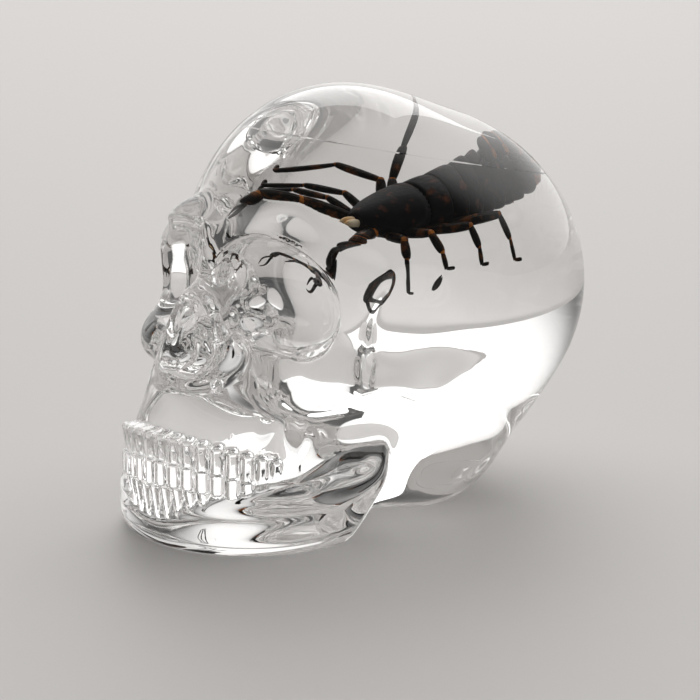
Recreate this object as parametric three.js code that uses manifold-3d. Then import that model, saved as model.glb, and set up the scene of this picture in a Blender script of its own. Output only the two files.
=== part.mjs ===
// A dried black scorpion sealed in a clear resin block cast as a small skull.
// Millimetres, +Z up. The origin is the middle of the footprint on the table, the face looks along -Y,
// and the skull's left side is +X. The casting is parted at the height of the scorpion's pocket.

import * as THREE from 'three';
import Module from 'manifold-3d';
import { mergeVertices } from 'three/addons/utils/BufferGeometryUtils.js';

const wasm = await Module();
wasm.setup();

// ---- Driving dimensions --------------------------------------------------------------------------

const SKULL_LENGTH = 76;       // teeth to the back of the head
const MIDDLE_Y = 0.8;          // middle of the footprint, measured from the ears
const SKIN_CENTRE = new THREE.Vector3(0, -5, 25);
const SKIN_DETAIL = 11;        // splits of each edge of the skin's starting icosahedron
const FACE_LEAN = new THREE.Vector3(0, -0.42, -0.14);    // draws the skin's vertices towards the face
const RELAX_ROUNDS = 10;       // rounds that even out the skin's triangles
const RELAX_SHARE = 0.35;      // how far a vertex moves to the middle of its neighbours each round

const PARTING_HEIGHT = 36;     // where the casting's two halves meet
const PARTING_GAP = 0.3;       // between the two halves
const POCKET_GAP = 0.35;       // between the scorpion and the resin
const ROOM = 2 * SKULL_LENGTH; // side of a box that holds all of one half

// The dental arch is half an oval, and the bite slopes down towards the back.
const ARCH_HALF_WIDTH = 12.3;
const ARCH_DEPTH = 14;
const ARCH_MIDDLE = -21.5;
const ARCH_FRONT = ARCH_MIDDLE - ARCH_DEPTH;
const ARCH_REACH = 84;         // degrees from the front tooth to the last, each side
const BITE_FRONT = 12.8;
const BITE_SLOPE = 0.37;
const TEETH_PER_ROW = 20;
const UPPER_TOOTH = { size: [0.95, 1.3, 2.1], above: 1.8, sink: 0.9 };
const LOWER_TOOTH = { size: [0.95, 1.3, 2.4], above: -2.2, sink: 0.7 };

// The lower jaw is half an oval in plan too, and runs straight back to a sloping rear edge.
const JAW_HALF_WIDTH = 17.2;
const JAW_DEPTH = 16;
const JAW_MIDDLE = -18.6;
const JAW_BOTTOM = -0.6;
const JAW_TOP = 8.4;
const JAW_RIM = 3.2;           // rounding of its edges
const JAW_REAR = -14.5;        // its rear edge, at the table
const JAW_REAR_SLOPE = 0.75;

// The scorpion
const SCORPION_PLACE = new THREE.Vector3(0, 11.7, 36);
const SCORPION_TILT = -5;      // degrees, rear end down
const SCORPION_ROLL = 14;      // degrees, left side down
const PLATE_HALF_WIDTHS = [3, 3.2, 3.3, 3.3, 3.1, 2.7, 2.2];
const PLATES_START = -3.4;
const PLATE_PITCH = 2.05;
const PLATE_FRONT_SHARE = 0.93;            // a plate's width at its front edge
const PLATE_REAR = 0.85;                   // where its rear edge stands, of the pitch
const CARAPACE = [[-10.2, 1.3], [-9, 2.1], [-6.8, 2.7], [-3.8, 3]];
const TRUNK_HALF_HEIGHT = 1.9;
const TRUNK_ARCH = 1.2;                    // how high the back arches
const TRUNK_ARCH_MIDDLE = 1;
const TRUNK_ARCH_REACH = 10;
const TAIL_ROOT = 11;
const TAIL_SEGMENTS = [
  { length: 2.2, rise: 10, radius: 1.85 },
  { length: 2.2, rise: 70, radius: 1.8 },
  { length: 2.2, rise: 135, radius: 1.7 },
  { length: 2.4, rise: 172, radius: 1.6 },
  { length: 2.8, rise: 182, radius: 1.5 },
  { length: 2.4, rise: 192, radius: 1.25 },
  { length: 1.6, rise: 228, radius: 0.35 },
];
const TAIL_TIP_RADIUS = 0.12;
const NECK_PLACE = 0.12;                   // a segment's narrow neck and its bulge, along its length
const NECK_SHARE = 0.8;
const BULGE_PLACE = 0.6;
const TRUNK_SIDES = 8;
const TAIL_SIDES = 6;
const LIMB_SIDES = 5;
const LEG_RADII = [0.62, 0.52, 0.36, 0.2, 0.16];
const RIGHT_SHARE = 0.75;                  // the right limbs have dried thinner

// ---- Materials -----------------------------------------------------------------------------------

const resin = new THREE.MeshStandardMaterial({ color: '#e9eef0', roughness: 0.04, metalness: 0 });
resin.transparent = true;
resin.opacity = 0.35;
const shell = new THREE.MeshStandardMaterial({ color: '#16110e', roughness: 0.3, metalness: 0 });

// ---- Solids and booleans -------------------------------------------------------------------------

/** A closed three.js geometry as a solid: shared vertices merged, flat triangles at the poles dropped. */
function toSolid(geometry) {
  geometry.deleteAttribute('normal');
  geometry.deleteAttribute('uv');
  const merged = mergeVertices(geometry, 1e-4);
  const corners = merged.index.array;
  const kept = [];
  for (let i = 0; i < corners.length; i += 3) {
    const [a, b, c] = corners.slice(i, i + 3);
    if (a !== b && b !== c && c !== a) kept.push(a, b, c);
  }
  const vertProperties = new Float32Array(merged.attributes.position.array);
  return new wasm.Manifold(new wasm.Mesh({ numProp: 3, vertProperties, triVerts: new Uint32Array(kept) }));
}

/** A solid as a named mesh. */
function toMesh(solid, name, material) {
  const { vertProperties, triVerts } = solid.getMesh();
  const geometry = new THREE.BufferGeometry();
  geometry.setAttribute('position', new THREE.BufferAttribute(new Float32Array(vertProperties), 3));
  geometry.setIndex(new THREE.BufferAttribute(new Uint32Array(triVerts), 1));
  geometry.computeVertexNormals();
  const mesh = new THREE.Mesh(geometry, material);
  mesh.name = name;
  return mesh;
}

function joinAll(solids) {
  return solids.reduce((whole, next) => whole.add(next));
}

function box(width, depth, height, x, y, z) {
  return toSolid(new THREE.BoxGeometry(width, depth, height).translate(x, y, z));
}

// ---- The skull's rounded masses ------------------------------------------------------------------
// Each mass gives the distance from a point to its surface. The skull is symmetrical, so a mass
// beside the middle stands for both sides.

const turn = (degrees) => THREE.MathUtils.degToRad(degrees);

/** An egg: a ball with three radii, tilted about X (front up). */
function egg(centre, radii, tilt = 0) {
  const middle = new THREE.Vector3(...centre);
  const size = new THREE.Vector3(...radii);
  const upright = new THREE.Quaternion().setFromEuler(new THREE.Euler(turn(tilt), 0, 0));
  return (point) => {
    const local = point.clone().sub(middle).applyQuaternion(upright).divide(size);
    const reach = local.length() + 1e-9;
    const slope = local.divide(size).length() + 1e-9;
    return reach * (reach - 1) / slope;
  };
}

/** A bar with round ends, from one point and radius to another. */
function bar(from, to, radiusFrom, radiusTo = radiusFrom) {
  const start = new THREE.Vector3(...from);
  const along = new THREE.Vector3(...to).sub(start);
  return (point) => {
    const offset = point.clone().sub(start);
    const share = THREE.MathUtils.clamp(offset.dot(along) / along.lengthSq(), 0, 1);
    return offset.addScaledVector(along, -share).length() - THREE.MathUtils.lerp(radiusFrom, radiusTo, share);
  };
}

const blend = (a, b, soft) => {
  const share = THREE.MathUtils.clamp(0.5 + 0.5 * (b - a) / soft, 0, 1);
  return THREE.MathUtils.lerp(b, a, share) - soft * share * (1 - share);
};

/** The body and branch of the lower jaw, filled to the middle. */
function jawWall(point) {
  const across = point.x / JAW_HALF_WIDTH;
  const ahead = Math.min(point.y - JAW_MIDDLE, 0) / JAW_DEPTH;
  const reach = Math.hypot(across, ahead) + 1e-9;
  const slope = Math.hypot(across / JAW_HALF_WIDTH, ahead / JAW_DEPTH) / reach;
  const outside = (reach - 1) / slope + JAW_RIM;
  const level = Math.abs(point.z - (JAW_TOP + JAW_BOTTOM) / 2) - (JAW_TOP - JAW_BOTTOM) / 2 + JAW_RIM;
  const rounded = Math.hypot(Math.max(outside, 0), Math.max(level, 0)) - JAW_RIM;
  const wall = rounded + Math.min(Math.max(outside, level), 0);
  const behind = (point.y - JAW_REAR - JAW_REAR_SLOPE * point.z) / Math.hypot(1, JAW_REAR_SLOPE);
  return -blend(-wall, -behind, 2);
}

const MASSES = [
  // braincase
  { form: egg([0, 6.4, 30.7], [23.5, 28.7, 23.8], 16), soft: 0 },
  { form: egg([0, 15, 28.2], [21, 21.5, 20.5]), soft: 8 },
  { form: egg([0, -0.9, 37.7], [18, 15.1, 18.3]), soft: 8 },
  { form: egg([0, 9, 12], [14, 17, 11]), soft: 9 },
  // middle of the face
  { form: egg([0, -10, 22], [16, 13, 17]), soft: 6 },
  // brow and outer rims of the eye sockets
  { form: bar([0, -20.5, 38.5], [9, -19.5, 39], 2.6), soft: 4 },
  { form: bar([9, -19.5, 39], [17, -13.5, 35], 2.4), soft: 4 },
  { form: bar([17, -13.5, 35], [17.8, -15, 25], 2.2, 2.6), soft: 4 },
  // cheekbones and their arches
  { form: egg([14, -17.5, 22.5], [6, 4.5, 3.6]), soft: 4 },
  { form: bar([17, -15, 22], [20.5, -5, 21], 2.2, 2), soft: 4 },
  { form: bar([20.5, -5, 21], [20.5, 3, 21], 2, 2.5), soft: 4 },
  // bridge of the nose
  { form: bar([0, -20, 37], [0, -25.5, 31.5], 2.8, 2), soft: 4 },
  // upper jaw and the rim that holds the teeth
  { form: egg([0, -20, 20], [11.5, 11, 8]), soft: 4 },
  { form: egg([0, -20.5, 11.5], [11.8, 14.3, 9.5], 20), soft: 3 },
  // lower jaw: the rim that holds the teeth, the wall, and its branch up to the skull
  { form: egg([0, -21.3, 8], [11.6, 13.2, 5.5], 12), soft: 3 },
  { form: jawWall, soft: 2 },
  { form: bar([13, -16, 5], [16, -9.5, 12], 3.9, 3.4), soft: 3 },
  // base of the head
  { form: egg([9, 6, 8.4], [8, 12, 9]), soft: 4 },
  { form: egg([0, -12, 9], [13, 18, 12]), soft: 5 },
];

// Soft hollows: the temples, and under the cheekbones
const HOLLOWS = [
  { form: egg([23.8, -10.5, 27.5], [5, 7.5, 7]), soft: 4 },
  { form: egg([18.5, -13, 14], [5, 8, 5]), soft: 3 },
  { form: egg([14.5, -24, 16.2], [2.6, 3.6, 3]), soft: 2 },
];

// Hollows with a clear rim, left side: the eye sockets, and the nose
const CUTS = [
  { centre: [10.2, -22.4, 33.2], radii: [9.3, 9.2, 6.8], roll: 36, swing: 25, sides: 16 },
  { centre: [0.6, -28.6, 26.4], radii: [3, 3.1, 4.5], roll: 0, swing: 0, sides: 12 },
];

/** Distance from a point to the skull's skin, below zero inside. */
function skullField(point) {
  const folded = new THREE.Vector3(Math.abs(point.x), point.y, point.z);
  let distance = Infinity;
  for (const { form, soft } of MASSES) {
    const next = form(folded);
    distance = soft ? blend(distance, next, soft) : Math.min(distance, next);
  }
  for (const { form, soft } of HOLLOWS) distance = -blend(-distance, form(folded), soft);
  return distance;
}

// ---- The casting ---------------------------------------------------------------------------------

const DROP_STEPS = 60;
const DROP_SHARE = 0.6;        // of the distance left, each step

/** Moves a point along the field's slope onto the skin. */
function settle(point, steps) {
  const probe = 0.05;
  for (let step = 0; step < steps; step += 1) {
    const distance = skullField(point);
    const slope = new THREE.Vector3();
    for (const axis of ['x', 'y', 'z']) {
      const ahead = point.clone();
      ahead[axis] += probe;
      slope[axis] = (skullField(ahead) - distance) / probe;
    }
    point.addScaledVector(slope, -distance / Math.max(slope.lengthSq(), 0.25));
  }
}

/** The skull's skin: a ball's vertices brought in from outside, then evened out along the skin. */
function skullSkin() {
  const start = new THREE.IcosahedronGeometry(1, SKIN_DETAIL);
  start.deleteAttribute('normal');
  start.deleteAttribute('uv');
  const ball = mergeVertices(start, 1e-4);
  const places = ball.attributes.position;
  const corners = ball.index.array;
  const points = [];
  for (let i = 0; i < places.count; i += 1) {
    const direction = new THREE.Vector3().fromBufferAttribute(places, i).normalize();
    direction.add(FACE_LEAN).normalize();
    const point = SKIN_CENTRE.clone().addScaledVector(direction, SKULL_LENGTH);
    for (let step = 0; step < DROP_STEPS; step += 1) {
      point.addScaledVector(direction, -DROP_SHARE * skullField(point));
    }
    points.push(point);
  }
  const neighbours = points.map(() => new Set());
  for (let i = 0; i < corners.length; i += 3) {
    const [a, b, c] = corners.slice(i, i + 3);
    neighbours[a].add(b).add(c);
    neighbours[b].add(c).add(a);
    neighbours[c].add(a).add(b);
  }
  for (let round = 0; round < RELAX_ROUNDS; round += 1) {
    const middles = neighbours.map((near) => {
      const sum = [...near].reduce((total, n) => total.add(points[n]), new THREE.Vector3());
      return sum.divideScalar(near.size);
    });
    points.forEach((point, i) => point.lerp(middles[i], RELAX_SHARE));
    points.forEach((point) => settle(point, 2));
  }
  points.forEach((point, i) => places.setXYZ(i, point.x, point.y, point.z));
  return toSolid(ball);
}

/** One row of teeth around the front of the jaws, each an upright egg half sunk in its jaw. */
function toothRow({ size, above, sink }) {
  const teeth = [];
  for (let i = 0; i < TEETH_PER_ROW; i += 1) {
    const bearing = turn(THREE.MathUtils.lerp(-ARCH_REACH, ARCH_REACH, (i + 0.5) / TEETH_PER_ROW));
    const x = (ARCH_HALF_WIDTH - sink) * Math.sin(bearing);
    const y = ARCH_MIDDLE - (ARCH_DEPTH - sink) * Math.cos(bearing);
    const z = BITE_FRONT - (y - ARCH_FRONT) * BITE_SLOPE + above;
    const tooth = new THREE.SphereGeometry(1, 6, 3).scale(...size);
    tooth.rotateZ(bearing).translate(x, y, z);
    teeth.push(toSolid(tooth));
  }
  return teeth;
}

/** The cuts of both sides. */
function rimmedHollows() {
  return CUTS.flatMap(({ centre, radii, roll, swing, sides }) => [-1, 1].map((side) => {
    const geometry = new THREE.SphereGeometry(1, sides, sides / 2).scale(...radii);
    geometry.rotateY(side * turn(roll)).rotateZ(side * turn(swing));
    return toSolid(geometry.translate(side * centre[0], centre[1], centre[2]));
  }));
}

function casting() {
  const belowTable = box(ROOM, ROOM, ROOM, 0, 0, -ROOM / 2);
  const whole = joinAll([skullSkin(), ...toothRow(UPPER_TOOTH), ...toothRow(LOWER_TOOTH)]);
  return whole.subtract(joinAll(rimmedHollows())).subtract(belowTable);
}

// ---- The scorpion --------------------------------------------------------------------------------
// Its own frame: the middle of the body, head towards -Y, back up. `grow` makes the pocket's form.

const at = (x, y, z) => new THREE.Vector3(x, y, z);

const LEGS = [
  // left side, front to back: hip, knee, ankle, heel
  [at(1.5, -7.6, -0.8), at(4.6, -8, 0.1), at(6, -8.4, -1.3), at(6.6, -8.6, -2.5)],
  [at(1.6, -6.4, -0.7), at(5.2, -5.4, 0.8), at(7.2, -5, -0.4), at(7.8, -4.4, -2)],
  [at(1.6, -5.2, -0.6), at(5.8, -0.7, 1.1), at(7.6, 0, -0.4), at(8.4, 0.4, -2)],
  [at(1.5, -4.2, -0.5), at(5.9, 3.9, 1.5), at(7.9, 5, -0.2), at(8.8, 5.8, -2.2)],
  // right side
  [at(-1.5, -7.6, -0.8), at(-5, -8.6, -0.1), at(-8, -9.2, -0.9), at(-10.8, -9.2, -2.7)],
  [at(-1.6, -6.4, -0.7), at(-5, -6.6, 0.1), at(-8.2, -7.6, -0.8), at(-11.2, -8.2, -2.6)],
  [at(-1.6, -5.2, -0.6), at(-4.4, -3.6, 1.2), at(-7.8, -5, 1), at(-11.2, -7.2, -1.4)],
  [at(-1.5, -4.2, -0.5), at(-4.6, -2.2, 0.8), at(-6.4, -0.4, 2), at(-7, 0.2, 4)],
];
const FOOT_REACH = at(0.3, 0.9, 0.1);      // from the heel, on the left side

// shoulder, elbow, wrist, finger tips
const PINCERS = [
  [at(1.4, -9.4, -0.4), at(3.4, -13, -1.2), at(5, -15, -2.6), at(5.8, -22.2, -4.4)],
  [at(-1.4, -9.4, -0.2), at(-4.6, -13, 0.4), at(-6.8, -16.6, 0.4), at(-6, -22.6, -4.6)],
];
const HAND_SHARE = 0.36;       // of the way from wrist to finger tips
const PALM_SHARE = 0.22;       // and where the hand is widest
const ARM_RADII = [0.9, 0.95, 0.8, 1.25, 0.85];
const FINGER_RADII = [0.5, 0.42, 0.4, 0.14];
const FINGER_BOW = at(0, 0, 1.2);          // how far each finger stands off their middle line halfway
const FINGER_TIP_GAP = at(0, 0, 0.25);
const MOUTH = [at(0.3, -9.6, 0.1), at(0.3, -12, 0.1)];
const MOUTH_RADII = [0.45, 0.3];

const POINT_REACH = 0.6;       // how far a tube's blunt point stands out, of its end radius

/** A closed tube through a list of rings: [place, radius] each, with a blunt point at both ends. */
function tube(rings, sides, grow) {
  const last = rings.length - 1;
  const places = rings.map(([place]) => place);
  const radii = rings.map(([, radius]) => radius + grow);
  const outline = [[0, -1], ...radii.map((radius, i) => [radius, i]), [0, rings.length]];
  const geometry = new THREE.LatheGeometry(outline.map(([x, y]) => new THREE.Vector2(x, y)), sides);
  const frames = [];
  places.forEach((place, i) => {
    const along = places[Math.min(i + 1, last)].clone().sub(places[Math.max(i - 1, 0)]).normalize();
    const before = i ? frames[i - 1] : { along: at(0, 1, 0), turn: new THREE.Quaternion() };
    const swing = new THREE.Quaternion().setFromUnitVectors(before.along, along);
    frames.push({ along, turn: swing.multiply(before.turn) });
  });
  const vertices = geometry.attributes.position;
  for (let v = 0; v < vertices.count; v += 1) {
    const ring = THREE.MathUtils.clamp(Math.round(vertices.getY(v)), 0, last);
    const point = (Math.round(vertices.getY(v)) - ring) * POINT_REACH * radii[ring];
    const offset = at(vertices.getX(v), point, vertices.getZ(v)).applyQuaternion(frames[ring].turn);
    offset.add(places[ring]);
    vertices.setXYZ(v, offset.x, offset.y, offset.z);
  }
  return geometry;
}

/** A jointed limb, with a radius at each joint. */
function limb(joints, radii, grow) {
  return toSolid(tube(joints.map((joint, i) => [joint, radii[i]]), LIMB_SIDES, grow));
}

/** Carapace and back plates: each plate is a little wider at its rear edge. */
function trunk(grow) {
  const widest = Math.max(...PLATE_HALF_WIDTHS);
  const flatten = (TRUNK_HALF_HEIGHT + grow) / (widest + grow);
  const onArch = (y) => {
    const fall = ((y - TRUNK_ARCH_MIDDLE) / TRUNK_ARCH_REACH) ** 2;
    return at(0, y, TRUNK_ARCH * (1 - fall) / flatten);
  };
  const rings = CARAPACE.map(([y, halfWidth]) => [onArch(y), halfWidth]);
  PLATE_HALF_WIDTHS.forEach((halfWidth, i) => {
    const front = PLATES_START + i * PLATE_PITCH;
    rings.push([onArch(front), PLATE_FRONT_SHARE * halfWidth]);
    rings.push([onArch(front + PLATE_REAR * PLATE_PITCH), halfWidth]);
  });
  return toSolid(tube(rings, TRUNK_SIDES, grow).scale(1, 1, flatten));
}

/** Two short biting parts under the front of the carapace. */
function mouthParts(grow) {
  return [-1, 1].map((side) => {
    const places = MOUTH.map((place) => place.clone().multiply(at(side, 1, 1)));
    return limb(places, MOUTH_RADII, grow);
  });
}

/** The tail curls up over the back; each segment is a bead between two narrow joints. */
function tail(grow) {
  const rings = [];
  const joint = at(0, TAIL_ROOT, 0.3);
  TAIL_SEGMENTS.forEach(({ length, rise, radius }) => {
    const step = at(0, length * Math.cos(turn(rise)), length * Math.sin(turn(rise)));
    rings.push([joint.clone().addScaledVector(step, NECK_PLACE), NECK_SHARE * radius]);
    rings.push([joint.clone().addScaledVector(step, BULGE_PLACE), radius]);
    joint.add(step);
  });
  rings.push([joint, TAIL_TIP_RADIUS]);
  return toSolid(tube(rings, TAIL_SIDES, grow));
}

/** How thick a limb is, for the side that its root is on. */
const sideShare = (root) => (root.x < 0 ? RIGHT_SHARE : 1);

/** One leg, with its foot turned back. */
function leg(joints, grow) {
  const side = Math.sign(joints[0].x);
  const foot = FOOT_REACH.clone().multiply(at(side, 1, 1)).add(joints.at(-1));
  const radii = LEG_RADII.map((radius) => sideShare(joints[0]) * radius);
  return limb([...joints, foot], radii, grow);
}

/** One pincer: a bent arm that swells into a hand, and two fingers. */
function pincer([shoulder, elbow, wrist, tip], grow) {
  const palm = wrist.clone().lerp(tip, PALM_SHARE);
  const knuckle = wrist.clone().lerp(tip, HAND_SHARE);
  const scaled = (radii) => radii.map((radius) => sideShare(shoulder) * radius);
  const arm = limb([shoulder, elbow, wrist, palm, knuckle], scaled(ARM_RADII), grow);
  const fingers = [-1, 1].map((side) => {
    const base = knuckle.clone().addScaledVector(FINGER_TIP_GAP, side);
    const middle = knuckle.clone().lerp(tip, 0.5).addScaledVector(FINGER_BOW, side);
    const end = tip.clone().addScaledVector(FINGER_TIP_GAP, side);
    return limb([palm, base, middle, end], scaled(FINGER_RADII), grow);
  });
  return [arm, ...fingers];
}

function scorpionForm(grow) {
  const legs = LEGS.map((joints) => leg(joints, grow));
  const pincers = PINCERS.flatMap((joints) => pincer(joints, grow));
  const whole = joinAll([trunk(grow), tail(grow), ...mouthParts(grow), ...legs, ...pincers]);
  return whole.rotate([SCORPION_TILT, SCORPION_ROLL, 0]).translate(SCORPION_PLACE.toArray());
}

// ---- Assembly ------------------------------------------------------------------------------------

const skull = casting().subtract(scorpionForm(POCKET_GAP));
const lowerRoom = box(ROOM, ROOM, ROOM, 0, 0, PARTING_HEIGHT - (PARTING_GAP + ROOM) / 2);
const upperRoom = box(ROOM, ROOM, ROOM, 0, 0, PARTING_HEIGHT + (PARTING_GAP + ROOM) / 2);

const group = new THREE.Group();
group.add(toMesh(skull.intersect(lowerRoom), 'resin_skull_lower', resin));
group.add(toMesh(skull.intersect(upperRoom), 'resin_skull_upper', resin));
group.add(toMesh(scorpionForm(0), 'scorpion', shell));
group.children.forEach((mesh) => mesh.position.set(0, -MIDDLE_Y, 0));

export default group;
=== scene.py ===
"""A dried black scorpion sealed in a clear resin block cast as a small skull.

Everything is in the CAD frame: +Z up, the face looks along -Y, and the skull's left side is +X. The skull's
form is worked out in millimetres from the ears, and the scorpion's in millimetres from the middle of its
body; each finished piece is then set in the frame in metres.
"""

import math

import bpy
import numpy as np
import openvdb
from mathutils import Euler, Matrix, Vector


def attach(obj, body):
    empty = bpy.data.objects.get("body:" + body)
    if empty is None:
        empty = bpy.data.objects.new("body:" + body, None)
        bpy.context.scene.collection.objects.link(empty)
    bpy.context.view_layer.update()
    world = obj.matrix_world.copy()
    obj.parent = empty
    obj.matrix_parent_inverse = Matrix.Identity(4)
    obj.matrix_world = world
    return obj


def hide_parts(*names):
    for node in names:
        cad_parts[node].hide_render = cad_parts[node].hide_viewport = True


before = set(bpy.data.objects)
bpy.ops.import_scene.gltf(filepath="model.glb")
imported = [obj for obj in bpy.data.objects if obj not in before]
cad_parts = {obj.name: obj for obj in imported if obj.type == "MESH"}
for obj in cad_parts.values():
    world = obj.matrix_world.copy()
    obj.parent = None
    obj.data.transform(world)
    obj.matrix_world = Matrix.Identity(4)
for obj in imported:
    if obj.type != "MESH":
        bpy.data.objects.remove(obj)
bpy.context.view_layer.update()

MM = 0.001
MIDDLE_Y = 0.8                 # middle of the footprint, measured from the ears
SKIN_CELL = 0.43
RELAX_ROUNDS = 4

# The dental arch is half an oval in plan, and the bite slopes down towards the back.
ARCH_HALF_WIDTH, ARCH_DEPTH, ARCH_MIDDLE, ARCH_REACH = 12.3, 14, -21.5, 84
BITE_FRONT, BITE_SLOPE, TEETH_PER_ROW = 12.8, 0.37, 20
UPPER_CROWN, LOWER_CROWN_FRONT, LOWER_CROWN_BACK = 3.7, 3.6, 2.2
TOOTH_HALF_WIDTH, TOOTH_HALF_DEPTH, TOOTH_ROUNDING, TOOTH_SOFT = 0.88, 1.35, 0.6, 0.25
UPPER_INSET, LOWER_INSET, UPPER_TILT = 0.95, 0.75, -8      # how far the crowns stand inside the arch
CROWN_OVERLAP = 0.1
ROOT_INSET, ROOT_RADIUS, ROOT_TIP_RADIUS, ROOT_SOFT = 0.7, 0.85, 0.35, 0.3
ROOT_END, ROOT_RISE, LAST_ROOT = 4.6, 2.4, 0.55      # how high the roots end, and where the last one is
ROOT_OVERLAP, ROOT_SPREAD, ROOT_LEAN = 0.4, 1.03, 0.3      # how a root starts in its crown, spreads and leans
GUM_INSET, GUM_RISE, GUM_RADIUS, GUM_MIDDLE_REACH = 0.1, 0.3, 0.42, 0.03
PIT_INSET, PIT_RISE, PIT_SIZE, FIRST_PIT, LAST_PIT = 0.5, 2.1, (0.4, 0.9, 1.15), 0.12, 0.7
GROOVE_SOFT = 0.2

# The lower jaw is half an oval in plan too, and runs straight back to a sloping rear edge.
JAW_HALF_WIDTH, JAW_DEPTH, JAW_MIDDLE = 17.2, 16, -18.6
JAW_BOTTOM, JAW_TOP, JAW_RIM = -0.6, 8.4, 3.2
JAW_REAR, JAW_REAR_SLOPE, JAW_REAR_SOFT = -14.5, 0.75, 2


# ---- The skull's form: rounded masses blended into one skin, in millimetres from the ears ---------

def turned(tilt=0, swing=0, roll=0):
    """Roll about Y (outer end down), then tilt about X (front up), then swing about Z, in degrees."""
    return np.array(Matrix.Rotation(math.radians(swing), 3, "Z")
                    @ Matrix.Rotation(math.radians(-tilt), 3, "X")
                    @ Matrix.Rotation(math.radians(roll), 3, "Y"))


def egg(centre, radii, **turns):
    upright = turned(**turns)
    middle, size = np.array(centre, float), np.array(radii, float)

    def form(points):
        local = ((points - middle) @ upright) / size
        reach = np.linalg.norm(local, axis=-1) + 1e-9
        slope = np.linalg.norm(local / size, axis=-1) + 1e-9
        return reach * (reach - 1) / slope
    return form


def bar(start, end, radius, radius_end=None):
    radius_end = radius if radius_end is None else radius_end
    start, along = np.array(start, float), np.array(end, float) - np.array(start, float)

    def form(points):
        offset = points - start
        share = np.clip(offset @ along / (along @ along), 0, 1)
        reach = np.linalg.norm(offset - share[..., None] * along, axis=-1)
        return reach - (radius + (radius_end - radius) * share)
    return form


def block(centre, halves, rounding, **turns):
    """A box with rounded edges and corners."""
    upright = turned(**turns)
    middle, size = np.array(centre, float), np.array(halves, float) - rounding

    def form(points):
        over = np.abs((points - middle) @ upright) - size
        outside = np.linalg.norm(np.maximum(over, 0), axis=-1)
        return outside + np.minimum(over.max(-1), 0) - rounding
    return form


def blend(a, b, soft):
    share = np.clip(0.5 + 0.5 * (b - a) / soft, 0, 1)
    return b * (1 - share) + a * share - soft * share * (1 - share)


def carve(a, b, soft):
    return -blend(-a, b, soft)


def jaw_wall(points):
    """The body and branch of the lower jaw, filled to the middle."""
    across = points[..., 0] / JAW_HALF_WIDTH
    ahead = np.minimum(points[..., 1] - JAW_MIDDLE, 0) / JAW_DEPTH
    reach = np.hypot(across, ahead) + 1e-9
    slope = np.hypot(across / JAW_HALF_WIDTH, ahead / JAW_DEPTH) / reach
    outside = (reach - 1) / slope + JAW_RIM
    middle, half = (JAW_TOP + JAW_BOTTOM) / 2, (JAW_TOP - JAW_BOTTOM) / 2
    level = np.abs(points[..., 2] - middle) - half + JAW_RIM
    rounded = np.hypot(np.maximum(outside, 0), np.maximum(level, 0)) - JAW_RIM
    wall = rounded + np.minimum(np.maximum(outside, level), 0)
    behind = (points[..., 1] - JAW_REAR - JAW_REAR_SLOPE * points[..., 2]) / math.hypot(1, JAW_REAR_SLOPE)
    return carve(wall, -behind, JAW_REAR_SOFT)


# The raised rim of the nose is an oval ring that narrows and leans back upwards, and wraps round the face.
NOSE_MIDDLE, NOSE_HALF_WIDTH, NOSE_HALF_HEIGHT, NOSE_LEAN = (0, -28.2, 27.3), 5.3, 5.6, 16
NOSE_NARROWING, NOSE_WRAP, NOSE_RIM_RADIUS, NOSE_SOFT = 0.38, 0.06, 1.0, 1.8


def nose_rim(points):
    local = (points - np.array(NOSE_MIDDLE)) @ turned(tilt=NOSE_LEAN)
    height = local[..., 2] / NOSE_HALF_HEIGHT
    width = local[..., 0] / (NOSE_HALF_WIDTH * (1 - NOSE_NARROWING * height))
    outside = (np.hypot(width, height) - 1) * NOSE_HALF_HEIGHT
    return np.hypot(outside, local[..., 1] - NOSE_WRAP * local[..., 0] ** 2) - NOSE_RIM_RADIUS


# Each form comes with how softly it blends into, or is carved out of, those before it. The lists give the
# left side and the middle.
MASSES = [
    # braincase
    (egg((0, 6.4, 30.7), (23.5, 28.7, 23.8), tilt=16), 0),
    (egg((0, 15, 28.2), (21, 21.5, 20.5)), 8),
    (egg((0, -0.9, 37.7), (18, 15.1, 18.3)), 8),
    (egg((0, 9, 12), (14, 17, 11)), 9),
    # middle of the face
    (egg((0, -10, 22), (16, 13, 17)), 6),
    # brow and outer rims of the eye sockets
    (bar((0, -20.5, 38.5), (9, -19.5, 39), 2.6), 4),
    (bar((9, -19.5, 39), (17, -13.5, 35), 2.4), 4),
    (bar((17, -13.5, 35), (17.8, -15, 25), 2.2, 2.6), 4),
    # cheekbones and their arches
    (egg((14, -17.5, 22.5), (6, 4.5, 3.6)), 4),
    (bar((17, -15, 22), (20.5, -5, 21), 2.2, 2), 4),
    (bar((20.5, -5, 21), (20.5, 3, 21), 2, 2.5), 4),
    # bridge of the nose
    (bar((0, -20, 37), (0, -25.5, 31.5), 2.8, 2), 4),
    # upper jaw and the rim that holds the teeth
    (egg((0, -20, 20), (11.5, 11, 8)), 4),
    (egg((0, -20.5, 11.5), (11.8, 14.3, 9.5), tilt=20), 3),
    # lower jaw: the rim that holds the teeth, the wall, and its branch up to the skull
    (egg((0, -21.3, 8), (11.6, 13.2, 5.5), tilt=12), 3),
    (jaw_wall, 2),
    (bar((13, -16, 5), (16, -9.5, 12), 3.9, 3.4), 3),
    # base of the head
    (egg((9, 6, 8.4), (8, 12, 9)), 4),
    (egg((0, -12, 9), (13, 18, 12)), 5),
]

HOLLOWS = [
    # temples, and under the cheekbones
    (egg((23.8, -10.5, 27.5), (5, 7.5, 7)), 4),
    (egg((18.5, -13, 14), (5, 8, 5)), 3),
    (egg((14.5, -24, 16.2), (2.6, 3.6, 3)), 2),
]

SOCKETS = [
    (egg((10.2, -22.4, 33.2), (9.3, 9.2, 6.8), swing=25, roll=36), 0.9),
]

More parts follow.
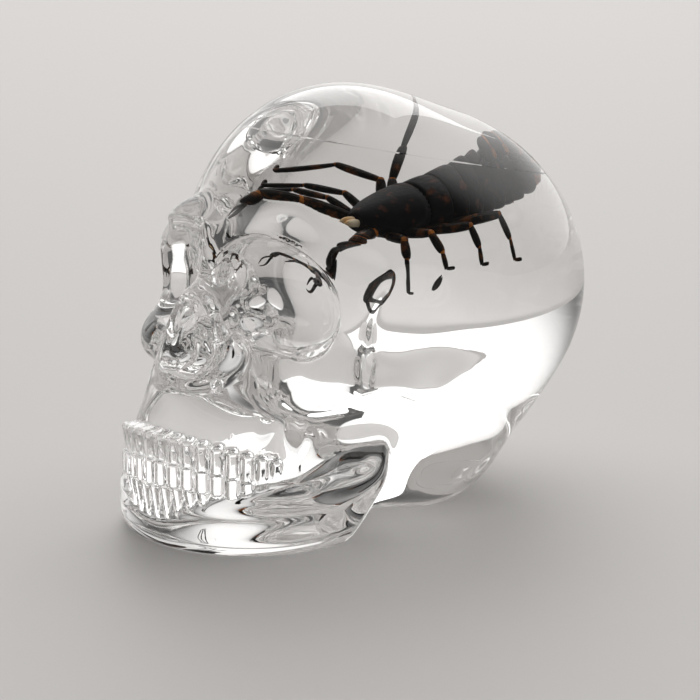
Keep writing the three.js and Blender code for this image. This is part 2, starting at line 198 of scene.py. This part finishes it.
NOSE = [
    (egg((0, -28.8, 28), (3, 3, 4.4), tilt=16), 1.4),
    (egg((1.9, -28.2, 24.9), (2.3, 2.8, 2.4)), 1.2),
    # a small pit beside the nose
    (egg((5.9, -28.4, 21.6), (0.8, 0.8, 1.2), roll=20), 0.3),
]


def arch_place(bearing, inset, height):
    """A place on the dental arch, `height` above the bite."""
    x = (ARCH_HALF_WIDTH - inset) * math.sin(bearing)
    y = ARCH_MIDDLE - (ARCH_DEPTH - inset) * math.cos(bearing)
    return x, y, BITE_FRONT - (y - ARCH_MIDDLE + ARCH_DEPTH) * BITE_SLOPE + height


def tooth_forms():
    """The left half of both rows, the lower roots that show as ribs, and the upper gum's groove and pits."""
    teeth, roots, grooves = [], [], []
    gum = []
    for i in range(TEETH_PER_ROW // 2, TEETH_PER_ROW):
        share = (2 * i + 1) / TEETH_PER_ROW - 1
        bearing = math.radians(ARCH_REACH * share)
        swing = math.degrees(bearing)
        upper_half = UPPER_CROWN / 2
        lower_half = (LOWER_CROWN_FRONT + (LOWER_CROWN_BACK - LOWER_CROWN_FRONT) * share) / 2
        upper_size = (TOOTH_HALF_WIDTH, TOOTH_HALF_DEPTH, upper_half + CROWN_OVERLAP)
        lower_size = (TOOTH_HALF_WIDTH, TOOTH_HALF_DEPTH, lower_half + CROWN_OVERLAP)
        teeth.append(block(arch_place(bearing, UPPER_INSET, upper_half), upper_size, TOOTH_ROUNDING,
                           swing=swing, tilt=UPPER_TILT))
        teeth.append(block(arch_place(bearing, LOWER_INSET, -lower_half), lower_size, TOOTH_ROUNDING,
                           swing=swing))
        gum.append(arch_place(bearing, GUM_INSET, UPPER_CROWN + GUM_RISE))
        if share < LAST_ROOT:
            top = arch_place(bearing, ROOT_INSET, -LOWER_CROWN_FRONT + ROOT_OVERLAP)
            end = (top[0] * ROOT_SPREAD, top[1] + ROOT_LEAN, ROOT_END + ROOT_RISE * share)
            roots.append(bar(top, end, ROOT_RADIUS, ROOT_TIP_RADIUS))
        if FIRST_PIT < share < LAST_PIT:
            place = arch_place(bearing, PIT_INSET, UPPER_CROWN + PIT_RISE)
            grooves.append((egg(place, PIT_SIZE, swing=swing), GROOVE_SOFT))
    gum.insert(0, (0, gum[0][1] - GUM_MIDDLE_REACH, gum[0][2]))
    grooves += [(bar(a, b, GUM_RADIUS), GROOVE_SOFT) for a, b in zip(gum, gum[1:])]
    return teeth, roots, grooves


TEETH, ROOTS, GROOVES = tooth_forms()


# Where the fine forms can reach, so that they are worked out only there
FACE_BACK, FACE_TOP = -8, 46
TEETH_BACK, TEETH_TOP = -15, 22
BASE_SOFT = 0.3


def skull_field(points):
    """Distance to the skin, below zero inside. The skull is symmetrical about the middle."""
    folded = points.copy()
    folded[..., 0] = np.abs(folded[..., 0])
    distance = None
    for form, soft in MASSES:
        value = form(folded)
        distance = value if distance is None else blend(distance, value, soft)
    for form, soft in HOLLOWS:
        distance = carve(distance, form(folded), soft)
    in_face = (folded[..., 1] < FACE_BACK) & (folded[..., 2] < FACE_TOP)
    close, part = folded[in_face], distance[in_face]
    part = blend(part, nose_rim(close), NOSE_SOFT)
    for form, soft in SOCKETS + NOSE:
        part = carve(part, form(close), soft)
    distance[in_face] = part
    near_teeth = (folded[..., 1] < TEETH_BACK) & (folded[..., 2] < TEETH_TOP)
    close, part = folded[near_teeth], distance[near_teeth]
    for form in ROOTS:
        part = blend(part, form(close), ROOT_SOFT)
    for form, soft in GROOVES:
        part = carve(part, form(close), soft)
    for form in TEETH:
        part = blend(part, form(close), TOOTH_SOFT)
    distance[near_teeth] = part
    return carve(distance, points[..., 2], BASE_SOFT)


def skin_slope(points):
    """The field's slope at each point. On the skin it points straight out."""
    probe = 0.02
    columns = []
    for axis in range(3):
        step = np.zeros(3)
        step[axis] = probe
        columns.append((skull_field(points + step) - skull_field(points - step)) / (2 * probe))
    return np.stack(columns, axis=-1)


# The grid that the skin is sampled on: finest at the teeth and the face, in shares of a cell
GRID_HALF_WIDTH = 27
GRID_LENGTH = (-40, 40, -14, 0.72, 1.7)      # start, end, end of the fine part, fine and coarse steps
GRID_HEIGHT = (-1.5, 59, 36, 0.8, 1.6)
STEP_GROWTH = 1.03
EVENING_SHARE, EVENING_DROPS = 0.4, 2        # a point's move to its neighbours' middle, then onto the skin


def spaced(cell, start, end, fine_end, fine, coarse):
    """Grid stations from start to end: `fine` cells apart up to fine_end, then widening to `coarse` cells."""
    stations, step = [start], fine * cell
    while stations[-1] < end:
        if stations[-1] > fine_end:
            step = min(step * STEP_GROWTH, coarse * cell)
        stations.append(stations[-1] + step)
    return np.array(stations)


def skull_skin(cell):
    """The skin as points and quads: the field sampled on a grid, then each point moved onto the skin."""
    axes = [np.arange(0, GRID_HALF_WIDTH, cell), spaced(cell, *GRID_LENGTH), spaced(cell, *GRID_HEIGHT)]
    half = np.empty([len(axis) for axis in axes], np.float32)
    for i, x in enumerate(axes[0]):
        half[i] = skull_field(np.stack(np.meshgrid([x], axes[1], axes[2], indexing="ij"), -1))[0]
    values = np.concatenate([half[:0:-1], half])
    axes[0] = np.concatenate([-axes[0][:0:-1], axes[0]])
    grid = openvdb.FloatGrid(3 * cell)
    grid.copyFromArray(np.clip(values, -3 * cell, 3 * cell))
    points, quads = grid.convertToQuads(isovalue=0.0)
    points = np.stack([np.interp(points[:, i], np.arange(len(axes[i])), axes[i]) for i in range(3)], axis=-1)
    edges = np.concatenate([quads[:, [i, (i + 1) % 4]] for i in range(4)])
    uses = np.bincount(edges.ravel(), minlength=len(points))[:, None]
    for _ in range(RELAX_ROUNDS):
        total = np.stack([np.bincount(edges[:, 0], points[edges[:, 1], axis], len(points))
                          + np.bincount(edges[:, 1], points[edges[:, 0], axis], len(points))
                          for axis in range(3)], axis=-1)
        points = (1 - EVENING_SHARE) * points + EVENING_SHARE * total / uses
        for _ in range(EVENING_DROPS):
            slope = skin_slope(points)
            steep = np.maximum((slope ** 2).sum(-1), 0.3)
            points = points - slope * (skull_field(points) / steep)[:, None]
    return points, quads, skin_slope(points)


# ---- Materials ------------------------------------------------------------------------------------

def new_material(name, **values):
    material = bpy.data.materials.new(name)
    material.use_nodes = True
    shader = material.node_tree.nodes["Principled BSDF"]
    for socket, value in values.items():
        shader.inputs[socket.replace("_", " ")].default_value = value
    return material, material.node_tree.nodes, material.node_tree.links, shader


# The last pour of resin: its level at the ears, its fall to the back, and half the height of its line
POUR_HEIGHT, POUR_SLOPE, POUR_HALF_LINE = 49.5, 0.23, 0.12
POUR_STRENGTH, POUR_STEP = 0.5, 0.00004                        # the step is in metres
RESIN_IOR, RESIN_TINT, RESIN_DENSITY = 1.54, (0.9, 0.885, 0.86, 1), 2.5


def make_resin():
    """Clear cast resin. Where its last pour meets the one before, the skin has a faint line."""
    material, nodes, links, shader = new_material(
        "clear_resin", Base_Color=(1, 1, 1, 1), Transmission_Weight=1, Roughness=0.0, IOR=RESIN_IOR)
    place = nodes.new("ShaderNodeTexCoord")
    above = nodes.new("ShaderNodeVectorMath")
    above.operation = "DOT_PRODUCT"
    above.inputs[1].default_value = (0, POUR_SLOPE, 1)
    line = nodes.new("ShaderNodeMapRange")
    line.interpolation_type = "SMOOTHSTEP"
    level = POUR_HEIGHT - POUR_SLOPE * MIDDLE_Y
    line.inputs["From Min"].default_value = (level - POUR_HALF_LINE) * MM
    line.inputs["From Max"].default_value = (level + POUR_HALF_LINE) * MM
    bump = nodes.new("ShaderNodeBump")
    bump.inputs["Strength"].default_value = POUR_STRENGTH
    bump.inputs["Distance"].default_value = POUR_STEP
    links.new(place.outputs["Object"], above.inputs[0])
    links.new(above.outputs["Value"], line.inputs["Value"])
    links.new(line.outputs["Result"], bump.inputs["Height"])
    links.new(bump.outputs["Normal"], shader.inputs["Normal"])
    absorb = nodes.new("ShaderNodeVolumeAbsorption")
    absorb.inputs["Color"].default_value = RESIN_TINT
    absorb.inputs["Density"].default_value = RESIN_DENSITY
    links.new(absorb.outputs["Volume"], nodes["Material Output"].inputs["Volume"])
    return material


# The shell's flecks, and the grain that keeps it dull; the grain's depth is in metres
SHELL_IOR = 1.12
FLECK_SCALE, FLECK_DETAIL, FLECK_FADE = 900, 4, 0.3
GRAIN_SCALE, GRAIN_STRENGTH, GRAIN_DEPTH = 2600, 0.35, 0.00012


def make_shell(name, dark, warm, warm_from, roughness):
    """Horny shell: dark, with warmer flecks and a fine grain."""
    material, nodes, links, shader = new_material(name, Roughness=roughness, IOR=SHELL_IOR)
    place = nodes.new("ShaderNodeTexCoord")
    flecks = nodes.new("ShaderNodeTexNoise")
    flecks.inputs["Scale"].default_value = FLECK_SCALE
    flecks.inputs["Detail"].default_value = FLECK_DETAIL
    ramp = nodes.new("ShaderNodeValToRGB")
    ramp.color_ramp.elements[0].position = warm_from
    ramp.color_ramp.elements[0].color = dark
    ramp.color_ramp.elements[1].position = warm_from + FLECK_FADE
    ramp.color_ramp.elements[1].color = warm
    grain = nodes.new("ShaderNodeTexNoise")
    grain.inputs["Scale"].default_value = GRAIN_SCALE
    bump = nodes.new("ShaderNodeBump")
    bump.inputs["Strength"].default_value = GRAIN_STRENGTH
    bump.inputs["Distance"].default_value = GRAIN_DEPTH
    links.new(place.outputs["Object"], flecks.inputs["Vector"])
    links.new(place.outputs["Object"], grain.inputs["Vector"])
    links.new(flecks.outputs["Fac"], ramp.inputs["Fac"])
    links.new(ramp.outputs["Color"], shader.inputs["Base Color"])
    links.new(grain.outputs["Fac"], bump.inputs["Height"])
    links.new(bump.outputs["Normal"], shader.inputs["Normal"])
    return material


# ---- Modelling steps ------------------------------------------------------------------------------

def deselect():
    bpy.ops.object.select_all(action="DESELECT")


def select_only(piece):
    deselect()
    piece.select_set(True)
    bpy.context.view_layer.objects.active = piece


def placed():
    """The primitive just added, with its place and turn put into its mesh."""
    bpy.ops.object.transform_apply(location=True, rotation=True, scale=True)
    return bpy.context.object


def pick(piece, wanted, kind="VERT"):
    """Go to edit mode with only the points (or faces) selected whose middle is where `wanted` says."""
    bpy.ops.object.mode_set(mode="EDIT")
    bpy.ops.mesh.select_mode(type=kind)
    bpy.ops.mesh.select_all(action="DESELECT")
    bpy.ops.object.mode_set(mode="OBJECT")
    for item in (piece.data.vertices if kind == "VERT" else piece.data.polygons):
        item.select = bool(wanted(item.co if kind == "VERT" else item.center))
    bpy.ops.object.mode_set(mode="EDIT")


def done():
    bpy.ops.object.mode_set(mode="OBJECT")


def smooth(piece, levels=1):
    select_only(piece)
    modifier = piece.modifiers.new("rounding", "SUBSURF")
    modifier.levels = levels
    bpy.ops.object.modifier_apply(modifier="rounding")
    bpy.ops.object.shade_smooth()


def copy_of(piece, matrix):
    """A copy with its own mesh, moved by `matrix`."""
    twin = piece.copy()
    twin.data = piece.data.copy()
    twin.data.transform(matrix)
    bpy.context.collection.objects.link(twin)
    return twin


def joined(name, pieces):
    deselect()
    for piece in pieces:
        piece.select_set(True)
    bpy.context.view_layer.objects.active = pieces[0]
    if len(pieces) > 1:
        bpy.ops.object.join()
    pieces[0].name = name
    return pieces[0]


def along(start, end, width, depth=None):
    """The matrix that lays a form one unit long on +Z from start to end, with these half-widths."""
    start, end = Vector(start), Vector(end)
    turn = (end - start).to_track_quat("Z", "Y").to_matrix().to_4x4()
    size = Matrix.Diagonal((width, width if depth is None else depth, (end - start).length, 1))
    return Matrix.Translation(start) @ turn @ size


# ---- The scorpion, in millimetres from the middle of its body: head towards -Y, back up -----------
# A leg is hip, knee, ankle and heel, a pincer is shoulder, elbow, wrist and finger tips, and a part of the
# tail is its length, its rise in degrees and its radius.

SCORPION_PLACE = Vector((0, 11.7, 36))
SCORPION_TILT = -5             # degrees, rear end down
SCORPION_ROLL = 14             # degrees, left side down
PLATE_HALF_WIDTHS = [3, 3.2, 3.3, 3.3, 3.1, 2.7, 2.2]
PLATES_START, PLATE_PITCH = -3.4, 2.05
CARAPACE = [(-10.2, 1.3), (-9, 2.1), (-6.8, 2.7), (-3.8, 3)]
TRUNK_HALF_HEIGHT, FLAT_SHARE = 1.9, 0.35       # a narrow plate keeps this share of the widest one's height
PLATE_LENGTH = 1.12                              # of the pitch, so that each plate overlaps the next
TRUNK_ARCH, TRUNK_ARCH_MIDDLE, TRUNK_ARCH_REACH = 1.2, 1, 10   # how high the back arches, and where
SKIN_GAPS, SKIN_PROUD, SKIN_HALF_LENGTH = (5, 6), 0.1, 0.3     # soft skin behind the fifth and sixth plates
TAIL_ROOT = 11
TAIL_SEGMENTS = [(2.2, 10, 1.85), (2.2, 70, 1.8), (2.2, 135, 1.7), (2.4, 172, 1.6), (2.8, 182, 1.5)]
VENOM_BULB, STING = (2.4, 192, 1.25), (1.6, 228, 0.35)
TAIL_OVERLAP = 0.12
LEG_RADII = [0.6, 0.5, 0.34]
RIGHT_SHARE = 0.75             # the right limbs have dried thinner
LEGS = {
    "left_1": [(1.5, -7.6, -0.8), (4.6, -8, 0.1), (6, -8.4, -1.3), (6.6, -8.6, -2.5)],
    "left_2": [(1.6, -6.4, -0.7), (5.2, -5.4, 0.8), (7.2, -5, -0.4), (7.8, -4.4, -2)],
    "left_3": [(1.6, -5.2, -0.6), (5.8, -0.7, 1.1), (7.6, 0, -0.4), (8.4, 0.4, -2)],
    "left_4": [(1.5, -4.2, -0.5), (5.9, 3.9, 1.5), (7.9, 5, -0.2), (8.8, 5.8, -2.2)],
    "right_1": [(-1.5, -7.6, -0.8), (-5, -8.6, -0.1), (-8, -9.2, -0.9), (-10.8, -9.2, -2.7)],
    "right_2": [(-1.6, -6.4, -0.7), (-5, -6.6, 0.1), (-8.2, -7.6, -0.8), (-11.2, -8.2, -2.6)],
    "right_3": [(-1.6, -5.2, -0.6), (-4.4, -3.6, 1.2), (-7.8, -5, 1), (-11.2, -7.2, -1.4)],
    "right_4": [(-1.5, -4.2, -0.5), (-4.6, -2.2, 0.8), (-6.4, -0.4, 2), (-7, 0.2, 4)],
}
PINCERS = {
    "left": [(1.4, -9.4, -0.4), (3.4, -13, -1.2), (5, -15, -2.6), (5.8, -22.2, -4.4)],
    "right": [(-1.4, -9.4, -0.2), (-4.6, -13, 0.4), (-6.8, -16.6, 0.4), (-6, -22.6, -4.6)],
}
PINCER_RADII = [0.9, 0.95, 0.8]
HAND_SHARE, HAND_RADIUS, FINGER_RADIUS = 0.36, 1.25, 0.46
FLATTENED = 0.8                # a leg's depth, of its width
FOOT_REACH, FOOT_RADIUS = (0.3, 0.9, 0.1), 0.2     # from the heel; the foot turns back
HAND_DEPTH = 0.75              # of its width
FINGER_ROOT_GAP, FINGER_TIP_GAP, KNUCKLE_STEP = 0.35, 0.12, 0.3
KNEE_SKIN, ELBOW_SKIN, TAIL_SKIN = 0.84, 0.88, 0.92        # the soft skin's width, of the limb's own
MOUTH_SIZE, MOUTH_PLACE = (0.4, 1.3, 0.5), (0.3, -10.9, 0.1)


def arch_height(y):
    """How far the trunk's middle line stands above a straight one."""
    return TRUNK_ARCH * (1 - ((y - TRUNK_ARCH_MIDDLE) / TRUNK_ARCH_REACH) ** 2)


def plate_height(width):
    return TRUNK_HALF_HEIGHT * (FLAT_SHARE + (1 - FLAT_SHARE) * width / max(PLATE_HALF_WIDTHS))


def limb_share(name):
    return RIGHT_SHARE if name.startswith("right") else 1


def make_limb_part():
    """One segment of a limb, one unit long: fuller beyond its middle, with a collar at each end."""
    bpy.ops.mesh.primitive_cylinder_add(vertices=10, radius=1, depth=1, location=(0, 0, 0.5))
    part = placed()
    pick(part, lambda c: abs(c.z - 0.5) < 0.4, "FACE")
    bpy.ops.mesh.subdivide(number_cuts=3)
    for height, width in ((0, 0.72), (0.25, 0.95), (0.75, 1.04), (1, 0.78)):
        pick(part, lambda c, h=height: abs(c.z - h) < 0.02)
        bpy.ops.transform.resize(value=(width, width, 1))
    pick(part, lambda c: c.z < 0.01 or c.z > 0.99, "FACE")
    bpy.ops.mesh.inset(thickness=0.12)
    done()
    smooth(part)
    return part


def make_joint():
    bpy.ops.mesh.primitive_ico_sphere_add(subdivisions=2, radius=1)
    joint = bpy.context.object
    pick(joint, lambda c: True)
    bpy.ops.transform.resize(value=(1, 1, 0.85))
    done()
    select_only(joint)
    bpy.ops.object.shade_smooth()
    return joint


def make_plate():
    """One back plate, one unit long: domed above, flatter below, its rear edge standing proud."""
    bpy.ops.mesh.primitive_cylinder_add(vertices=28, radius=1, depth=1, rotation=(math.radians(90), 0, 0))
    plate = placed()
    pick(plate, lambda c: c.z < -0.01)
    bpy.ops.transform.resize(value=(1, 1, 0.85))
    pick(plate, lambda c: abs(c.y) < 0.4, "FACE")
    bpy.ops.mesh.subdivide(number_cuts=3)
    for station, width in ((-0.5, 0.9), (-0.25, 0.97), (0.25, 1.03), (0.5, 1.0)):
        pick(plate, lambda c, s=station: abs(c.y - s) < 0.02)
        bpy.ops.transform.resize(value=(width, 1, width))
    pick(plate, lambda c: abs(c.y) > 0.49, "FACE")
    bpy.ops.mesh.inset(thickness=0.06)
    bpy.ops.transform.resize(value=(1, 0.9, 1))
    done()
    smooth(plate)
    return plate


def make_carapace():
    """The head shield: extruded forward ring by ring and closed at the front."""
    rear, width = CARAPACE[-1]
    bpy.ops.mesh.primitive_cylinder_add(
        vertices=28, radius=1, depth=1, location=(0, rear, 0),
        rotation=(math.radians(90), 0, 0), scale=(width, TRUNK_HALF_HEIGHT, 1))
    shield = placed()
    station, last = rear - 0.5, width
    for y, half_width in reversed(CARAPACE[:-1]):
        pick(shield, lambda c, s=station: c.y < s + 0.01, "FACE")
        bpy.ops.mesh.extrude_region_move(TRANSFORM_OT_translate={"value": (0, y - station, 0)})
        bpy.ops.transform.resize(value=(half_width / last, 1, 0.5 + 0.5 * half_width / last),
                                 center_override=(0, y, 0))
        station, last = y, half_width
    bpy.ops.mesh.inset(thickness=0.3)
    done()
    for vertex in shield.data.vertices:
        vertex.co.z += arch_height(vertex.co.y)
    smooth(shield)
    return shield


def trunk_pieces(shell):
    plate = make_plate()
    plates = []
    for i, width in enumerate(PLATE_HALF_WIDTHS):
        middle = PLATES_START + (i + 0.5) * PLATE_PITCH
        size = Matrix.Diagonal((width, PLATE_LENGTH * PLATE_PITCH, plate_height(width), 1))
        plates.append(copy_of(plate, Matrix.Translation((0, middle, arch_height(middle))) @ size))
    bpy.data.objects.remove(plate)
    trunk = joined("scorpion_back", [make_carapace()] + plates)
    trunk.data.materials.append(shell)
    return trunk


def tail_path():
    """Each joint of the tail, from its root to the tip of the sting."""
    joints = [Vector((0, TAIL_ROOT, 0.3))]
    for length, rise, _ in TAIL_SEGMENTS + [VENOM_BULB, STING]:
        turn = math.radians(rise)
        joints.append(joints[-1] + length * Vector((0, math.cos(turn), math.sin(turn))))
    return joints


def tail_piece(part, shell):
    joints = tail_path()
    pieces = [copy_of(part, along(a, b + TAIL_OVERLAP * (b - a), radius))
              for a, b, (_, _, radius) in zip(joints, joints[1:], TAIL_SEGMENTS)]
    pieces.append(copy_of(part, along(joints[-3], joints[-2], VENOM_BULB[2])))
    bpy.ops.mesh.primitive_cone_add(vertices=10, radius1=1, radius2=0.1, depth=1, location=(0, 0, 0.5))
    sting = placed()
    pick(sting, lambda c: c.z > 0.9)
    bpy.ops.transform.translate(value=(0, 0.25, 0))
    done()
    sting.data.transform(along(joints[-2], joints[-1], STING[2]))
    pieces.append(sting)
    tail = joined("scorpion_tail", pieces)
    tail.data.materials.append(shell)
    return tail


def leg_pieces(part, shell):
    legs = []
    for name, joints in LEGS.items():
        share, side = limb_share(name), math.copysign(1, joints[0][0])
        parts = [copy_of(part, along(a, b, share * radius, FLATTENED * share * radius))
                 for a, b, radius in zip(joints, joints[1:], LEG_RADII)]
        heel, (out, back, rise) = Vector(joints[-1]), FOOT_REACH
        toe = heel + Vector((side * out, back, rise))
        parts.append(copy_of(part, along(heel, toe, share * FOOT_RADIUS)))
        leg = joined(f"scorpion_leg_{name}", parts)
        leg.data.materials.append(shell)
        legs.append(leg)
    return legs


def make_finger():
    """One finger, one unit long: a stub drawn out in four steps, bowed out and then bent back in."""
    bpy.ops.mesh.primitive_cylinder_add(vertices=8, radius=1, depth=0.25, location=(0, 0, 0.125))
    finger = placed()
    top = 0.25
    for rise, shift, width in ((0.25, 2, 0.85), (0.25, 0.9, 0.8), (0.25, -0.9, 0.7), (0.2, -1.7, 0.4)):
        pick(finger, lambda c, t=top: c.z > t - 0.01, "FACE")
        bpy.ops.mesh.extrude_region_move(TRANSFORM_OT_translate={"value": (shift, 0, rise)})
        bpy.ops.transform.resize(value=(width, width, 1))
        top += rise
    done()
    finger.data.transform(Matrix.Diagonal((1, 1, 1 / top, 1)))
    smooth(finger)
    return finger


def pincer_pieces(part, shell):
    finger = make_finger()
    pincers = []
    for name, (shoulder, elbow, wrist, tip) in PINCERS.items():
        joints = [shoulder, elbow, wrist]
        share = limb_share(name)
        hand_end = Vector(wrist).lerp(Vector(tip), HAND_SHARE)
        parts = [copy_of(part, along(a, b, share * radius))
                 for a, b, radius in zip(joints, joints[1:], PINCER_RADII)]
        hand_width = share * HAND_RADIUS
        parts.append(copy_of(part, along(wrist, hand_end, hand_width, HAND_DEPTH * hand_width)))
        for side in (-1, 1):
            start = hand_end + Vector((0, KNUCKLE_STEP, FINGER_ROOT_GAP * side))
            end = Vector(tip) + Vector((0, 0, FINGER_TIP_GAP * side))
            lay = along(start, end, share * FINGER_RADIUS)
            parts.append(copy_of(finger, lay @ Matrix.Rotation(math.radians(90 * side), 4, "Z")))
        pincer = joined(f"scorpion_pincer_{name}", parts)
        pincer.data.materials.append(shell)
        pincers.append(pincer)
    bpy.data.objects.remove(finger)
    return pincers


def joint_piece(amber):
    """The soft skin that shows at every knee, ankle, elbow and wrist, and between the last back plates."""
    joint = make_joint()
    spots = [(joints[i], KNEE_SKIN * limb_share(name) * LEG_RADII[i])
             for name, joints in LEGS.items() for i in (1, 2)]
    spots += [(joints[i], ELBOW_SKIN * limb_share(name) * PINCER_RADII[i])
              for name, joints in PINCERS.items() for i in (0, 1, 2)]
    spots += [(joint, TAIL_SKIN * radius) for joint, (_, _, radius) in zip(tail_path()[1:], TAIL_SEGMENTS)]
    copies = [copy_of(joint, Matrix.Translation(place) @ Matrix.Scale(radius, 4)) for place, radius in spots]
    for i in SKIN_GAPS:
        y = PLATES_START + i * PLATE_PITCH
        width = PLATE_HALF_WIDTHS[i - 1] + SKIN_PROUD
        size = Matrix.Diagonal((width, SKIN_HALF_LENGTH, plate_height(width), 1))
        copies.append(copy_of(joint, Matrix.Translation((0, y, arch_height(y))) @ size))
    bpy.data.objects.remove(joint)
    joints = joined("scorpion_joint_skin", copies)
    joints.data.materials.append(amber)
    return joints


def mouth_piece(cream):
    """Two short biting parts under the front of the head shield."""
    bpy.ops.mesh.primitive_uv_sphere_add(segments=16, ring_count=10, radius=1)
    biter = bpy.context.object
    pick(biter, lambda c: c.y < -0.6)
    bpy.ops.transform.resize(value=(0.6, 1.1, 0.6), center_override=(0, -0.6, 0))
    done()
    smooth(biter)
    size = Matrix.Diagonal((*MOUTH_SIZE, 1))
    across, ahead, up = MOUTH_PLACE
    twins = [copy_of(biter, Matrix.Translation((side * across, ahead, up)) @ size) for side in (-1, 1)]
    bpy.data.objects.remove(biter)
    mouth = joined("scorpion_mouthparts", twins)
    mouth.data.materials.append(cream)
    return mouth


def set_in_resin(piece):
    """From the scorpion's own frame to the shared frame."""
    turn = Euler((math.radians(SCORPION_TILT), math.radians(SCORPION_ROLL), 0)).to_matrix().to_4x4()
    place = SCORPION_PLACE - Vector((0, MIDDLE_Y, 0))
    piece.data.transform(Matrix.Scale(MM, 4) @ Matrix.Translation(place) @ turn)
    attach(piece, "root")
    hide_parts("scorpion")


def make_scorpion():
    black = make_shell("black_shell", (0.005, 0.004, 0.004, 1), (0.14, 0.04, 0.01, 1), 0.58, 0.4)
    brown = make_shell("brown_shell", (0.009, 0.006, 0.004, 1), (0.2, 0.065, 0.012, 1), 0.53, 0.35)
    amber = make_shell("amber_skin", (0.14, 0.035, 0.006, 1), (0.6, 0.22, 0.04, 1), 0.4, 0.3)
    cream = make_shell("cream_mouthparts", (0.8, 0.48, 0.2, 1), (0.95, 0.82, 0.6, 1), 0.3, 0.4)
    part = make_limb_part()
    pieces = [trunk_pieces(black), tail_piece(part, black), joint_piece(amber), mouth_piece(cream)]
    pieces += leg_pieces(part, brown) + pincer_pieces(part, brown)
    bpy.data.objects.remove(part)
    for piece in pieces:
        set_in_resin(piece)


def make_skull():
    """The one clear casting. Its normals are the form's own, so that no facet shows in what it refracts."""
    points, quads, slope = skull_skin(SKIN_CELL)
    points = (points - np.array([0, MIDDLE_Y, 0])) * MM
    mesh = bpy.data.meshes.new("clear_skull")
    mesh.from_pydata(points.tolist(), [], quads.tolist())
    mesh.update()
    skull = bpy.data.objects.new("clear_skull", mesh)
    bpy.context.collection.objects.link(skull)
    select_only(skull)
    bpy.ops.object.shade_smooth()
    normals = slope / np.linalg.norm(slope, axis=1, keepdims=True)
    mesh.normals_split_custom_set_from_vertices(normals.tolist())
    skull.data.materials.append(make_resin())
    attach(skull, "root")
    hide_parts("resin_skull_lower", "resin_skull_upper")


# ---- Camera, floor and light ----------------------------------------------------------------------

VIEW_AZIMUTH, VIEW_ELEVATION, VIEW_DISTANCE, TARGET_HEIGHT = 46, 13, 0.45, 0.028      # degrees and metres
IMAGE_SIZE, PIXELS_PER_MM, TARGET_PIXEL = 700, 7.35, (343.6, 297.5)
SENSOR_WIDTH = 36
FLOOR_RADIUS, FLOOR_DROP = 4, 0.0001       # metres; a hair under the clear base, so that they share no plane
BOUNCES = 40                   # light is reflected many times inside the resin
BRIGHT_SIDE = (-0.5, 0.65, 0.6)     # where the studio is brightest: up, behind the skull, on its right
STUDIO_DARK, DARK_UP_TO = (0.06, 0.06, 0.06, 1), 0.3
STUDIO_BRIGHT, BRIGHT_FROM, STUDIO_STRENGTH = (1, 0.985, 0.97, 1), 0.75, 1.3
LAMP_PLACE, LAMP_SIZE, LAMP_POWER = (-0.45, 0.5, 0.55), 0.6, 2


def place_camera():
    azimuth, elevation = math.radians(VIEW_AZIMUTH), math.radians(VIEW_ELEVATION)
    target = Vector((0, -MIDDLE_Y * MM, TARGET_HEIGHT))
    back = Vector((math.sin(azimuth) * math.cos(elevation), -math.cos(azimuth) * math.cos(elevation),
                   math.sin(elevation)))
    data = bpy.data.cameras.new("camera")
    camera = bpy.data.objects.new("camera", data)
    bpy.context.collection.objects.link(camera)
    camera.location = target + back * VIEW_DISTANCE
    camera.rotation_euler = back.to_track_quat("Z", "Y").to_euler()
    data.sensor_width = SENSOR_WIDTH
    data.lens = SENSOR_WIDTH * VIEW_DISTANCE / (IMAGE_SIZE / PIXELS_PER_MM * MM)
    data.shift_x = (IMAGE_SIZE / 2 - TARGET_PIXEL[0]) / IMAGE_SIZE
    data.shift_y = (TARGET_PIXEL[1] - IMAGE_SIZE / 2) / IMAGE_SIZE
    data.clip_start = 0.01
    bpy.context.scene.camera = camera


def make_floor():
    deselect()
    bpy.ops.mesh.primitive_circle_add(vertices=96, radius=FLOOR_RADIUS, fill_type="NGON",
                                      location=(0, 0, -FLOOR_DROP))
    floor = bpy.context.object
    floor.name = "floor"
    material = new_material("floor", Base_Color=(0.62, 0.6, 0.585, 1), Roughness=0.6)[0]
    floor.data.materials.append(material)


def make_light():
    """A plain studio that darkens away from its bright side, and one soft lamp there."""
    world = bpy.data.worlds.new("studio")
    bpy.context.scene.world = world
    world.use_nodes = True
    nodes, links = world.node_tree.nodes, world.node_tree.links
    place = nodes.new("ShaderNodeTexCoord")
    part = nodes.new("ShaderNodeVectorMath")
    part.operation = "DOT_PRODUCT"
    part.inputs[1].default_value = Vector(BRIGHT_SIDE).normalized()
    ramp = nodes.new("ShaderNodeValToRGB")
    ramp.color_ramp.interpolation = "EASE"
    ramp.color_ramp.elements[0].position = DARK_UP_TO
    ramp.color_ramp.elements[0].color = STUDIO_DARK
    ramp.color_ramp.elements[1].position = BRIGHT_FROM
    ramp.color_ramp.elements[1].color = STUDIO_BRIGHT
    links.new(place.outputs["Generated"], part.inputs[0])
    links.new(part.outputs["Value"], ramp.inputs["Fac"])
    links.new(ramp.outputs["Color"], nodes["Background"].inputs["Color"])
    nodes["Background"].inputs["Strength"].default_value = STUDIO_STRENGTH
    bpy.context.scene.view_settings.view_transform = "Standard"
    cycles = bpy.context.scene.cycles
    cycles.max_bounces = cycles.transmission_bounces = cycles.glossy_bounces = BOUNCES
    data = bpy.data.lights.new("key", "AREA")
    data.size = LAMP_SIZE
    data.energy = LAMP_POWER
    light = bpy.data.objects.new("key", data)
    light.location = LAMP_PLACE
    light.rotation_euler = light.location.to_track_quat("Z", "Y").to_euler()
    bpy.context.collection.objects.link(light)


place_camera()
make_floor()
make_light()
deselect()
make_scorpion()
make_skull()
